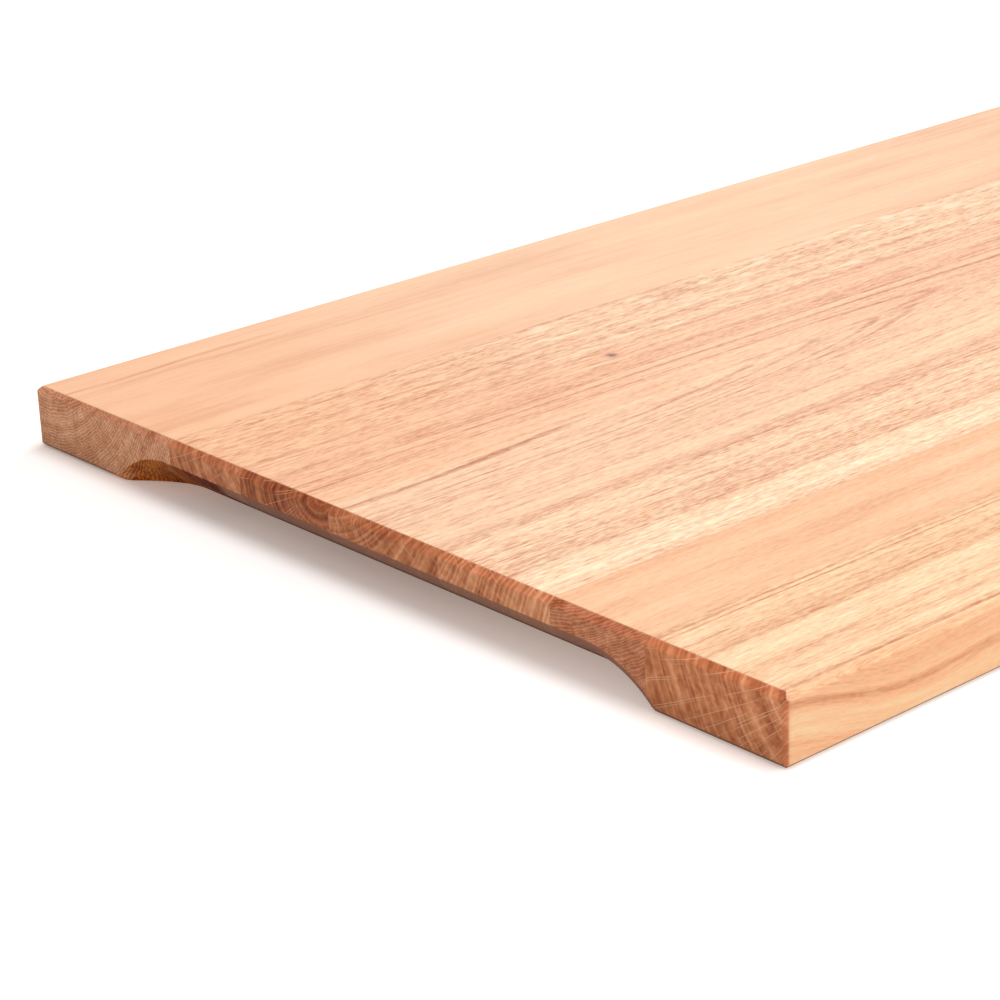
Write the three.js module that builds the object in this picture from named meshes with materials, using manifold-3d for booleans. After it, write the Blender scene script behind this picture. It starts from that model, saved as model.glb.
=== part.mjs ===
// An edge-glued oak chopping block: seven full-length staves with a film of glue in every joint,
// chamfered edges, and a finger recess under each end.
// Millimetres. +X runs along the staves, +Y to the back edge, +Z up. The origin is under the middle.

import * as THREE from "three";
import { mergeVertices } from "three/addons/utils/BufferGeometryUtils.js";
import Module from "manifold-3d";

// Panel
const boardLength = 600;
const boardThickness = 24.6;
const glueThickness = 0.2;

// Stave widths, from the front edge to the back edge
const frontStaveWidth = 59.2;
const secondStaveWidth = 42.9;
const thirdStaveWidth = 54.9;
const middleStaveWidth = 57.8;
const fifthStaveWidth = 50.9;
const sixthStaveWidth = 43.1;
const backStaveWidth = 90.0;

// Edges
const topChamfer = 2.4;
const bottomChamfer = 1.5;
const cornerRadius = 2.5;

// Finger recess under each end
const footLength = 52;
const lipThickness = 9.6;
const recessDepth = 17.3;
const recessRadius = 46;
const footRounding = 4;
const mouthFlare = 4;
const flareDepth = 2.6;

// Mesh fineness, how far a cutting solid runs past what it cuts,
// and how near to a joint plane a cut point has to be to be put on it
const arcSegments = 20;
const cornerSegments = 4;
const cutMargin = 3;
const snapDistance = 0.02;

const staves = [
  { name: "stave_1_front", width: frontStaveWidth, colour: 0xf3c794 },
  { name: "stave_2", width: secondStaveWidth, colour: 0xf2c29b },
  { name: "stave_3", width: thirdStaveWidth, colour: 0xf4cfa6 },
  { name: "stave_4_middle", width: middleStaveWidth, colour: 0xf1c69f },
  { name: "stave_5", width: fifthStaveWidth, colour: 0xe8b790 },
  { name: "stave_6", width: sixthStaveWidth, colour: 0xefc39c },
  { name: "stave_7_back", width: backStaveWidth, colour: 0xf2c7a0 },
];
const oakRoughness = 0.55;
const glueColour = 0xd9b382;
const glueRoughness = 0.4;

const stavesWidth = staves.reduce((sum, stave) => sum + stave.width, 0);
const boardWidth = stavesWidth + (staves.length - 1) * glueThickness;
const recessHeight = boardThickness - lipThickness;
const recessReach = recessDepth + cutMargin;
const recessTaper = (recessHeight - mouthFlare) / (recessDepth - flareDepth);
const recessNarrowing = mouthFlare + recessTaper * (recessReach - flareDepth);

const wasm = await Module();
wasm.setup();

// Turns a closed three.js geometry into a solid that can be cut.
function solidOf(geometry) {
  const bare = geometry.clone();
  bare.deleteAttribute("normal");
  bare.deleteAttribute("uv");
  const merged = mergeVertices(bare);
  const mesh = new wasm.Mesh({
    numProp: 3,
    vertProperties: new Float32Array(merged.attributes.position.array),
    triVerts: new Uint32Array(merged.index.array),
  });
  return new wasm.Manifold(mesh);
}

// Lays a geometry drawn in its own axes along three given directions, starting at a given point.
function laid(geometry, across, up, along, start) {
  const frame = new THREE.Matrix4().makeBasis(across, up, along).setPosition(start);
  return solidOf(geometry.applyMatrix4(frame));
}

function extruded(shape, depth) {
  return new THREE.ExtrudeGeometry(shape, { depth, bevelEnabled: false, curveSegments: cornerSegments });
}

// The board's plan outline, with its upright corners rounded.
function planOutline() {
  const x = boardLength / 2 - cornerRadius;
  const y = boardWidth / 2 - cornerRadius;
  const shape = new THREE.Shape();
  shape.absarc(x, y, cornerRadius, 0, Math.PI / 2);
  shape.absarc(-x, y, cornerRadius, Math.PI / 2, Math.PI);
  shape.absarc(-x, -y, cornerRadius, Math.PI, 1.5 * Math.PI);
  shape.absarc(x, -y, cornerRadius, 1.5 * Math.PI, 2 * Math.PI);
  return shape;
}

// A section through the board of a given width, with its edges chamfered.
function chamferedSection(width) {
  const side = width / 2;
  return new THREE.Shape([
    new THREE.Vector2(-side + bottomChamfer, 0),
    new THREE.Vector2(side - bottomChamfer, 0),
    new THREE.Vector2(side, bottomChamfer),
    new THREE.Vector2(side, boardThickness - topChamfer),
    new THREE.Vector2(side - topChamfer, boardThickness),
    new THREE.Vector2(-side + topChamfer, boardThickness),
    new THREE.Vector2(-side, boardThickness - topChamfer),
    new THREE.Vector2(-side, bottomChamfer),
  ]);
}

// Points along an arc in the plane of the end face.
function arcPoints(centreY, centreZ, radius, from, to) {
  const points = [];
  for (let step = 0; step <= arcSegments; step += 1) {
    const angle = from + (to - from) * step / arcSegments;
    points.push(new THREE.Vector2(centreY + radius * Math.cos(angle), centreZ + radius * Math.sin(angle)));
  }
  return points;
}

// The recess seen on the end face, drawn in by a given amount: a flat roof, a hollow arc at each side
// and a rounded foot. It reaches far enough down to stay open below the board where it is narrowest.
function recessOutline(drawnIn) {
  const bothRadii = recessRadius + footRounding;
  const arcCentreZ = recessHeight - recessRadius;
  const rise = footRounding - arcCentreZ;
  const footEnd = boardWidth / 2 - footLength;
  const roofEnd = footEnd - Math.sqrt(bothRadii ** 2 - rise ** 2);
  const turn = Math.asin(rise / bothRadii);
  const foot = arcPoints(footEnd, footRounding, footRounding + drawnIn, 1.5 * Math.PI, Math.PI + turn);
  const hollow = arcPoints(roofEnd, arcCentreZ, recessRadius - drawnIn, turn, Math.PI / 2);
  const corner = new THREE.Vector2(footEnd, -recessNarrowing - cutMargin);
  const half = [corner, ...foot, ...hollow.slice(1)];
  const mirrored = half.map((point) => new THREE.Vector2(-point.x, point.y)).reverse();
  return [...half, ...mirrored];
}

// A closed skin over outlines of equally many points, set one behind the other along the third axis.
function lofted(outlines, places) {
  const count = outlines[0].length;
  const placed = (outline, ring) => outline.flatMap((point) => [point.x, point.y, places[ring]]);
  const positions = outlines.flatMap(placed);
  const faces = [];
  for (let ring = 0; ring < outlines.length - 1; ring += 1) {
    for (let here = 0; here < count; here += 1) {
      const next = (here + 1) % count;
      const near = ring * count;
      const far = near + count;
      faces.push(near + here, near + next, far + next, near + here, far + next, far + here);
    }
  }
  const last = (outlines.length - 1) * count;
  for (const [i, j, k] of THREE.ShapeUtils.triangulateShape(outlines[0], [])) {
    faces.push(k, j, i);
  }
  for (const [i, j, k] of THREE.ShapeUtils.triangulateShape(outlines.at(-1), [])) {
    faces.push(last + i, last + j, last + k);
  }
  const geometry = new THREE.BufferGeometry();
  geometry.setAttribute("position", new THREE.Float32BufferAttribute(positions, 3));
  geometry.setIndex(faces);
  return geometry;
}

const alongX = new THREE.Vector3(1, 0, 0);
const alongY = new THREE.Vector3(0, 1, 0);
const alongZ = new THREE.Vector3(0, 0, 1);

// The whole panel before it is recessed: its plan, its long section and its cross section at once.
function blank() {
  const plan = laid(extruded(planOutline(), boardThickness + 2 * cutMargin),
    alongX, alongY, alongZ, new THREE.Vector3(0, 0, -cutMargin));
  const lengthwise = laid(extruded(chamferedSection(boardLength), boardWidth + 2 * cutMargin),
    alongX, alongZ, alongY.clone().negate(), new THREE.Vector3(0, boardWidth / 2 + cutMargin, 0));
  const crosswise = laid(extruded(chamferedSection(boardWidth), boardLength + 2 * cutMargin),
    alongY, alongZ, alongX, new THREE.Vector3(-boardLength / 2 - cutMargin, 0, 0));
  return plan.intersect(lengthwise).intersect(crosswise);
}

// The space under one end, as a tapered cutter run across the board leaves it: its outline draws in
// fast through the flare of the mouth, then at a steady rate on the way in. The way in is +1 at the -X
// end and -1 at the +X end.
function recess(wayIn) {
  const mouth = recessOutline(0);
  const outlines = [mouth, mouth, recessOutline(mouthFlare), recessOutline(recessNarrowing)];
  const geometry = lofted(outlines, [-cutMargin, 0, flareDepth, recessReach]);
  return laid(geometry, new THREE.Vector3(0, wayIn, 0), alongZ, new THREE.Vector3(wayIn, 0, 0),
    new THREE.Vector3(-wayIn * boardLength / 2, 0, 0));
}

// The part of the board between two joint planes, with the cut faces exactly on those planes.
function slice(board, front, back) {
  const length = boardLength + 2 * cutMargin;
  const slab = new THREE.BoxGeometry(length, back - front, boardThickness + 2 * cutMargin);
  slab.translate(0, (front + back) / 2, boardThickness / 2);
  const mesh = board.intersect(solidOf(slab)).getMesh();
  const positions = new Float32Array(mesh.vertProperties);
  for (let i = 1; i < positions.length; i += 3) {
    for (const plane of [front, back]) {
      if (Math.abs(positions[i] - plane) < snapDistance) {
        positions[i] = plane;
      }
    }
  }
  const geometry = new THREE.BufferGeometry();
  geometry.setAttribute("position", new THREE.BufferAttribute(positions, 3));
  geometry.setIndex(new THREE.BufferAttribute(new Uint32Array(mesh.triVerts), 1));
  return geometry;
}

function piece(name, geometry, colour, roughness) {
  const finish = { color: colour, roughness, metalness: 0, flatShading: true };
  const mesh = new THREE.Mesh(geometry, new THREE.MeshStandardMaterial(finish));
  mesh.name = name;
  return mesh;
}

const board = blank().subtract(recess(1)).subtract(recess(-1));
const choppingBlock = new THREE.Group();
let front = -boardWidth / 2;
staves.forEach((stave, index) => {
  const back = front + stave.width;
  choppingBlock.add(piece(stave.name, slice(board, front, back), stave.colour, oakRoughness));
  const next = back + glueThickness;
  if (index < staves.length - 1) {
    const name = `glue_line_${index + 1}_${index + 2}`;
    choppingBlock.add(piece(name, slice(board, back, next), glueColour, glueRoughness));
  }
  front = next;
});

export default choppingBlock;
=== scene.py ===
import math

import bmesh
import bpy
from mathutils import Matrix, Vector


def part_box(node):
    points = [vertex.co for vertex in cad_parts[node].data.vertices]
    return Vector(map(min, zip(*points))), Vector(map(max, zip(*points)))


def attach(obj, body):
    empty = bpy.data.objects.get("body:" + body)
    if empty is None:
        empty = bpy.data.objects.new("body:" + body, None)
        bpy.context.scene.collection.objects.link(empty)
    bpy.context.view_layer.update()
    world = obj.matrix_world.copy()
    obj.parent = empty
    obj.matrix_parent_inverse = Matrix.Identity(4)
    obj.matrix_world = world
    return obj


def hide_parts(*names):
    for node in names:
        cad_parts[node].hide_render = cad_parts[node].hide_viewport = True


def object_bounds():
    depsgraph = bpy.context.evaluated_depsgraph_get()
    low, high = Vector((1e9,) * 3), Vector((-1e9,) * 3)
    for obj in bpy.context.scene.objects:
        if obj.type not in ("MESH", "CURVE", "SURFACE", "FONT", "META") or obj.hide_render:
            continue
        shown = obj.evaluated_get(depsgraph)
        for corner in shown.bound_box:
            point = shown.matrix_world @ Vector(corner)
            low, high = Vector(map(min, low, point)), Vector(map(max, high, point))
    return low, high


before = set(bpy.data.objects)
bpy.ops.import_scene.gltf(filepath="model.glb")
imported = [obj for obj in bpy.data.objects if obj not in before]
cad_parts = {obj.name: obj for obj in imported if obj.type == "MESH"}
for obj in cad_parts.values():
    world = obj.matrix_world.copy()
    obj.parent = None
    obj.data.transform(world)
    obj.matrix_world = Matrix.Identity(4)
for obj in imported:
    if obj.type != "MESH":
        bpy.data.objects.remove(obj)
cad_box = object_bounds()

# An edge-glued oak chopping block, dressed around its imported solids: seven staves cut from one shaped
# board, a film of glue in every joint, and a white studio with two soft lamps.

bl_info = {
    "name": "Oak chopping block",
    "version": (1, 0, 0),
    "blender": (4, 5, 0),
    "location": "3D View > Sidebar > Chopping block",
    "description": "Builds an edge-glued oak chopping block with a finger recess under each end",
    "category": "Mesh",
}

BOARD_LOW = Vector(cad_box[0])
BOARD_HIGH = Vector(cad_box[1])
BOARD_SIZE = BOARD_HIGH - BOARD_LOW
MM = 0.001


def shade(red, green, blue):
    """A colour given as screen values from 0 to 255, as the linear colour that a shader takes."""
    linear = []
    for value in (red, green, blue):
        share = value / 255
        linear.append(share / 12.92 if share <= 0.04045 else ((share + 0.055) / 1.055) ** 2.4)
    return linear


def length_prop(name, description, default):
    return bpy.props.FloatProperty(name=name, description=description, default=default, min=0,
                                   subtype="DISTANCE", unit="LENGTH", precision=5)


def number_prop(name, description, default):
    return bpy.props.FloatProperty(name=name, description=description, default=default, precision=4)


def colour_prop(name, description, default):
    return bpy.props.FloatVectorProperty(name=name, description=description, default=default,
                                         size=3, min=0, max=1, subtype="COLOR")


def place_prop(name, description, default):
    return bpy.props.FloatVectorProperty(name=name, description=description, default=default, precision=5,
                                         subtype="TRANSLATION")


def angle_prop(name, description, degrees):
    return bpy.props.FloatProperty(name=name, description=description, default=math.radians(degrees),
                                   subtype="ANGLE")


def slot_prop(default):
    return bpy.props.StringProperty(name="Slot", description="Material slot in the record", default=default)


class BoardSizes(bpy.types.PropertyGroup):
    """Sizes of the board's edges and of the finger recess under each end."""

    top_chamfer: length_prop("Top chamfer", "Width of the chamfer round the working face", 2.4 * MM)
    bottom_chamfer: length_prop("Bottom chamfer", "Width of the chamfer round the underside", 1.5 * MM)
    corner_radius: length_prop("Corner radius", "Rounding of the four upright corners", 2.5 * MM)
    easing: length_prop("Easing", "How far every edge is sanded back", 0.35 * MM)
    foot_length: length_prop("Foot length", "Full-height wood beside a recess", 52 * MM)
    lip_thickness: length_prop("Lip thickness", "Wood left above a recess", 9.6 * MM)
    recess_depth: length_prop("Recess depth", "How far a recess reaches under the board", 17.3 * MM)
    recess_radius: length_prop("Recess radius", "Hollow arc at each side of a recess", 46 * MM)
    foot_rounding: length_prop("Foot rounding", "Rounding where the hollow arc meets the foot", 4 * MM)
    mouth_flare: length_prop("Mouth flare", "How far a recess widens towards its mouth", 4 * MM)
    flare_depth: length_prop("Flare depth", "How far in the widening begins", 2.6 * MM)


class FigurePoint(bpy.types.PropertyGroup):
    """How dark the wood is along one growth ring. The points between are filled in evenly."""

    across: number_prop("Across", "Where the ring meets the working face at the near end", 0.0)
    tone: number_prop("Tone", "1 for brown, 0 for pale, -1 for cream", 0.0)


class OakLook(bpy.types.PropertyGroup):
    """The wood of one stave. Places are in millimetres from the near end, the front edge and the
    underside."""

    slot: slot_prop("")
    seed: number_prop("Seed", "Picks another piece of the same wood", 0.0)
    pith_across: number_prop("Pith across", "Centre of the growth rings, from the front edge", 210.0)
    pith_height: number_prop("Pith height", "Centre of the growth rings, from the underside", 50.0)
    bow: number_prop("Bow", "How fast the pith rises along the length", 0.0)
    front_dip: number_prop("Front dip", "How far the grain dips on the front side, in millimetres", 0.0)
    ring_width: number_prop("Ring width", "Mean width of a growth ring in millimetres", 2.2)
    unevenness: number_prop("Unevenness", "How much the ring widths differ", 1.2)
    waviness: number_prop("Waviness", "Long waves of the grain in millimetres", 1.2)
    ripple: number_prop("Ripple", "Short waves of the rings in millimetres", 0.3)
    line_strength: number_prop("Line strength", "Depth of every ring's line on the long faces", 0.15)
    streak_strength: number_prop("Streak strength", "Depth of the long streaks on the long faces", 1.2)
    dash_strength: number_prop("Dash strength", "Depth of the short dashes on the long faces", 1.2)
    dash_length: number_prop("Dash length", "Length of the short dashes in millimetres", 11.0)
    dash_width: number_prop("Dash width", "Width of the short dashes in millimetres", 1.0)
    fibre_strength: number_prop("Fibre strength", "Depth of the fine fibres on the long faces", 0.8)
    pore_strength: number_prop("Pore strength", "Depth of the open pores on the long faces", 0.3)
    mottle_strength: number_prop("Mottle strength", "Depth of the broad tone patches", 0.6)
    fleck_strength: number_prop("Fleck strength", "Brightness of the ray flecks on the long faces", 0.2)
    fleck_start: number_prop("Fleck start", "Where the ray flecks begin, from the near end", -100.0)
    # Painted shade: the near end of a stave is tinted warmer and darker, as its far end catches more light
    near_painted_shade: number_prop("Near painted shade", "How much warmer the stave is at its near end", 0.0)
    edge_warmth: number_prop("Edge warmth", "How much warmer the long edge is than the face", 1.0)
    figure_reach: number_prop("Figure reach", "Where the drawn figure ends, in millimetres", 2000.0)
    ray_strength: number_prop("Ray strength", "Brightness of the ray lines on the end grain", 0.5)
    ray_density: number_prop("Ray density", "Ray lines per radian round the pith", 15.0)
    ring_contrast: number_prop("Ring contrast", "Depth of each ring on the end grain", 0.35)
    band_contrast: number_prop("Band contrast", "Depth of the broad bands on the end grain", 0.9)
    end_figure: number_prop("End figure", "How strongly the drawn figure shows on the end grain", 0.3)
    # Painted shade: the chamfered end grain is darkened, more on the back staves
    chamfer_painted_shade: number_prop("Chamfer painted shade", "Brightness of the chamfered end grain", 1.0)
    knot_along: number_prop("Knot along", "Place of the pin knot from the near end", 0.0)
    knot_across: number_prop("Knot across", "Place of the pin knot from the front edge", 0.0)
    knot_size: number_prop("Knot size", "Half length of the pin knot in millimetres, or none", 0.0)
    pale: colour_prop("Pale", "Wood between the lines", shade(249, 203, 164))
    brown: colour_prop("Brown", "Dark lines and pores", shade(205, 136, 100))
    cream: colour_prop("Cream", "Pale streaks and ray flecks", shade(253, 238, 200))
    end_grain: colour_prop("End grain", "Mean colour of the end grain", shade(205, 130, 86))
    drawing: bpy.props.CollectionProperty(type=FigurePoint)


class GlueLook(bpy.types.PropertyGroup):
    """The cured glue in the joints."""

    slot: slot_prop("wood_glue")
    amber: colour_prop("Amber", "Glue where it is thick", shade(222, 166, 124))
    soaked: colour_prop("Soaked", "Glue that has soaked into the wood", shade(238, 190, 148))
    end_amber: colour_prop("End amber", "Glue between two ends of the grain", shade(186, 112, 70))


class StudioLook(bpy.types.PropertyGroup):
    """The floor, the light and the camera."""

    floor_white: colour_prop("Floor", "Colour of the floor", (0.86, 0.87, 0.885))
    # Painted bounce light: the floor's lift is tinted warm in the shadow
    painted_bounce_tint: colour_prop("Lift tint", "Colour of the camera's lift in the shadow", (1.0, 0.78, 0.66))
    floor_lift: number_prop("Floor lift", "How much whiter the camera sees the floor", 0.26)
    # Painted light: the floor's shadow is whitened beside the long sides and towards the front
    side_painted_light: number_prop("Side lift", "How much whiter the floor is beside the long sides", 0.44)
    front_painted_light: number_prop("Front lift", "How much whiter still the shadow is towards the front", 0.13)
    sky_strength: number_prop("Sky strength", "Even light from all round", 0.45)
    overhead_power: number_prop("Overhead power", "Power of the lamp over the board in watts", 16.6)
    overhead_side: length_prop("Overhead side", "Edge of the square lamp over the board", 0.9)
    overhead_place: place_prop("Overhead place", "Where the lamp over the board hangs", (0.07, -0.05, 1.7))
    front_power: number_prop("Front power", "Power of the lamp before the long side in watts", 10.3)
    front_side: length_prop("Front side", "Edge of the square lamp before the long side", 1.2)
    front_place: place_prop("Front place", "Where the lamp before the long side stands", (0.2, -1.7, 0.6))
    camera_place: place_prop("Camera place", "Where the camera stands", (-0.85235, -0.72020, 0.38929))
    azimuth: angle_prop("Azimuth", "Camera's turn round the board", -40.59)
    elevation: angle_prop("Elevation", "Camera's height over the board", 21.67)
    roll: angle_prop("Roll", "Camera's turn about its own view", -2.307)
    lens: bpy.props.FloatProperty(name="Lens", description="Focal length for a 36 mm wide picture",
                                  default=103.465, unit="CAMERA")


class ChoppingBlock(bpy.types.PropertyGroup):
    """All the settings of the chopping block."""

    sizes: bpy.props.PointerProperty(type=BoardSizes)
    staves: bpy.props.CollectionProperty(type=OakLook)
    glue: bpy.props.PointerProperty(type=GlueLook)
    studio: bpy.props.PointerProperty(type=StudioLook)


STAVES = {
    "stave_1_front": dict(
        slot="oak_front", seed=1.0, pith_across=-40, pith_height=48, front_dip=11.6, ring_width=2.8,
        streak_strength=1.1, dash_strength=1.3, dash_length=14, dash_width=0.9, fibre_strength=1.6,
        ray_density=36, ray_strength=0.75, end_figure=0.0, ring_contrast=0.2,
        pale=shade(249, 199, 156), brown=shade(206, 136, 94), cream=shade(253, 238, 194),
        end_grain=shade(215, 133, 84),
        drawing=[(-2, 0.1), (0, -0.1), (1.5, -0.25), (1.7, 0), (2.6, 0.75), (3.4, 0.45), (4.6, 0),
                 (6.5, -0.4), (10, -0.35), (13, 0.05), (17, -0.1), (20, 0.1), (23, -0.15), (25, -0.4),
                 (28, -0.3), (31, -0.45), (34, -0.35), (35, 0.2), (36, 0.5), (37.6, 0.1), (39, 0.4),
                 (41, 0.1), (44.5, 0), (45.2, 0.45), (46, 0), (52.6, 0), (53.3, 0.7), (54, -0.15),
                 (55.2, 0), (55.8, 0.8), (56.4, 0.1), (59, 0.1)]),
    "stave_2": dict(
        slot="oak_second", seed=2.0, pith_across=127, pith_height=118, ring_width=1.0, waviness=1.5,
        ripple=0.9, line_strength=0.06, streak_strength=0.5, dash_strength=0.7, dash_length=14,
        fibre_strength=0.9, pore_strength=0.05, fleck_strength=0.05, mottle_strength=0.6,
        ray_strength=0.1, ray_density=50, ring_contrast=0.32, band_contrast=0.5,
        pale=shade(250, 195, 153), brown=shade(212, 140, 100), cream=shade(254, 228, 186),
        end_grain=shade(205, 129, 87),
        drawing=[(61, 0.05), (66, 0), (70, -0.15), (74, -0.1), (78, 0.2), (82, 0.2), (85, 0.15),
                 (88, -0.1), (92, -0.15), (96, 0), (99, 0.2), (101, 0.15)]),
    "stave_3": dict(
        slot="oak_third", seed=3.0, pith_across=207, pith_height=50,
        streak_strength=0.7, dash_strength=1.8, dash_length=7, dash_width=0.8, fibre_strength=2.0,
        ray_density=34, ring_contrast=0.3,
        pale=shade(249, 200, 162), brown=shade(204, 136, 102), cream=shade(253, 242, 204),
        end_grain=shade(218, 140, 92),
        drawing=[(103, -0.1), (105, 0), (106.5, -0.3), (108, -0.25), (109.5, -0.6), (111, -0.75),
                 (113, -0.3), (115, -0.45), (118, -0.35), (121.5, -0.4), (123, 0), (124, 0.6),
                 (125, 0.2), (127, 0.25), (130, 0.2), (133, 0.1), (136, 0.2), (139, -0.1),
                 (141.4, 0.05), (142.2, 0.55), (143, 0), (146, -0.15), (149, -0.1), (151, -0.25),
                 (153, 0.1), (155.3, 0.15), (156.3, 0.6), (157, 0.5)]),
    "stave_4_middle": dict(
        slot="oak_middle", seed=4.0, pith_across=219.5, pith_height=52.8, bow=0.0001455, ring_width=3.0,
        waviness=0.5, streak_strength=0.8, dash_strength=1.2, dash_length=10, dash_width=0.9,
        fibre_strength=1.4, ray_density=24, ring_contrast=0.28, chamfer_painted_shade=0.95,
        pale=shade(249, 200, 163), brown=shade(200, 132, 100), cream=shade(254, 236, 196),
        end_grain=shade(199, 121, 74),
        drawing=[(158.5, 0.2), (161, -0.1), (165, -0.25), (170, -0.1), (171.2, 0), (171.8, 0.35),
                 (172.6, 0), (173.6, 0), (174.4, 0.5), (175.4, 0), (180, -0.05), (186, 0.05),
                 (187.8, 0), (188.4, 0.6), (189.2, 0), (190.5, 0), (191.1, 0.7), (191.8, 0), (194.4, 0),
                 (195.2, 0.7), (196, 0), (197.8, 0), (198.7, 0.75), (199.6, 0), (207, -0.05),
                 (208.8, 0.5), (209.6, 0.7), (211, 0), (214, -0.1)]),
    "stave_5": dict(
        slot="oak_fifth", seed=5.0, pith_across=222, pith_height=28.6, bow=0.000057, ring_width=2.9,
        waviness=0.6, streak_strength=0.8, dash_strength=1.0, dash_length=12, fibre_strength=1.4,
        near_painted_shade=0.5, ray_density=14, ring_contrast=0.42, end_figure=0.3, chamfer_painted_shade=0.93,
        knot_along=176.5, knot_across=259.9, knot_size=2.3,
        pale=shade(250, 196, 159), brown=shade(196, 126, 94), cream=shade(254, 230, 190),
        end_grain=shade(172, 95, 50),
        drawing=[(222, -0.1), (229.6, -0.1), (230.6, 0.1), (231.2, 0.75), (232, 0.15), (234, -0.05),
                 (236.8, 0.1), (237.6, 0.85), (238.5, 0.2), (240, -0.2), (242, 0.05), (243, 0.6),
                 (244, 0.25), (246, 0.2), (248, 0.35), (250, 0.25), (252, 0.4), (254, 0), (255.5, -0.2),
                 (257, 0.2), (258, -0.1), (260, 0.15), (261.5, -0.15), (263, 0.2), (264.5, -0.1),
                 (266, 0.4)]),
    "stave_6": dict(
        slot="oak_sixth", seed=6.0, pith_across=234, pith_height=50,
        streak_strength=0.7, dash_strength=1.7, dash_length=6, dash_width=1.4, fibre_strength=1.4,
        mottle_strength=1.0, fleck_strength=0.6, fleck_start=140, near_painted_shade=1.0, ray_density=22,
        ring_contrast=0.18, chamfer_painted_shade=0.92,
        pale=shade(250, 204, 167), brown=shade(200, 130, 96), cream=shade(254, 238, 204),
        end_grain=shade(201, 124, 78),
        drawing=[(267.2, 0.4), (268.5, 0), (272, -0.1), (277, 0.05), (279, 0.35), (281, 0), (284, -0.1),
                 (286.7, 0.35), (288.4, 0), (292, 0.1), (296, 0.1), (300, 0), (302.5, 0.3), (304, 0),
                 (307, -0.05), (309, 0.25)]),
    "stave_7_back": dict(
        slot="oak_back", seed=7.0, pith_across=392, pith_height=55, ring_width=1.15, ripple=1.3,
        line_strength=0.05, streak_strength=0.6, dash_strength=0.3, dash_width=2.0, fibre_strength=0.25,
        pore_strength=0.05, fleck_strength=0.05, mottle_strength=1.2, near_painted_shade=0.75, figure_reach=110,
        ray_strength=0.15, ray_density=70, ring_contrast=0.36, band_contrast=0.5, chamfer_painted_shade=0.87,
        pale=shade(252, 204, 167), brown=shade(212, 142, 104), cream=shade(254, 232, 196),
        end_grain=shade(217, 150, 108),
        drawing=[(350, 0), (374, 0), (376.5, 0.2), (378, 0), (380.6, 0.1), (382, 0.6), (383.4, 0.1),
                 (386, 0)]),
}
GLUE_LINES = [name for name in sorted(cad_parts) if name.startswith("glue_line")]


# Shaping the board

CORNER_STEPS = 12
ARC_STEPS = 48
EASING_STEPS = 2
CUT_MARGIN = 3 * MM
SHARP_ANGLE = math.radians(3)
EASED_ANGLE = math.radians(20)
FLAT_ANGLE = math.radians(0.2)
WELD_DISTANCE = 0.002 * MM


def cut_away(bm, point, outwards):
    """Cuts off everything beyond a plane and closes the cut."""
    geometry = bm.verts[:] + bm.edges[:] + bm.faces[:]
    cut = bmesh.ops.bisect_plane(bm, geom=geometry, dist=WELD_DISTANCE, plane_co=point, plane_no=outwards,
                                 clear_outer=True)
    rim = [part for part in cut["geom_cut"] if isinstance(part, bmesh.types.BMEdge)]
    bmesh.ops.contextual_create(bm, geom=rim)


def shaped_blank(sizes):
    """The board before it is recessed: upright corners rounded, rims chamfered."""
    bm = bmesh.new()
    bmesh.ops.create_cube(bm, size=1)
    bmesh.ops.scale(bm, vec=BOARD_SIZE, verts=bm.verts)
    bmesh.ops.translate(bm, vec=(BOARD_LOW + BOARD_HIGH) / 2, verts=bm.verts)
    upright = [edge for edge in bm.edges if abs(edge.verts[0].co.z - edge.verts[1].co.z) > BOARD_SIZE.z / 2]
    bmesh.ops.bevel(bm, geom=upright, offset=sizes.corner_radius, segments=CORNER_STEPS, profile=0.5,
                    affect="EDGES", material=-1)
    for sideways in (Vector((1, 0, 0)), Vector((-1, 0, 0)), Vector((0, 1, 0)), Vector((0, -1, 0))):
        rim = Vector((BOARD_HIGH.x * sideways.x, BOARD_HIGH.y * sideways.y, 0))
        top = rim + Vector((0, 0, BOARD_HIGH.z - sizes.top_chamfer))
        bottom = rim + Vector((0, 0, sizes.bottom_chamfer))
        cut_away(bm, top, sideways + Vector((0, 0, 1)))
        cut_away(bm, bottom, sideways - Vector((0, 0, 1)))
    return bm


def pushed_out(bm, faces, shift):
    """Extrudes some faces, and gives back the moved faces and their corners."""
    made = bmesh.ops.extrude_face_region(bm, geom=faces)["geom"]
    corners = [part for part in made if isinstance(part, bmesh.types.BMVert)]
    bmesh.ops.translate(bm, vec=shift, verts=corners)
    return [part for part in made if isinstance(part, bmesh.types.BMFace)], corners


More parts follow.
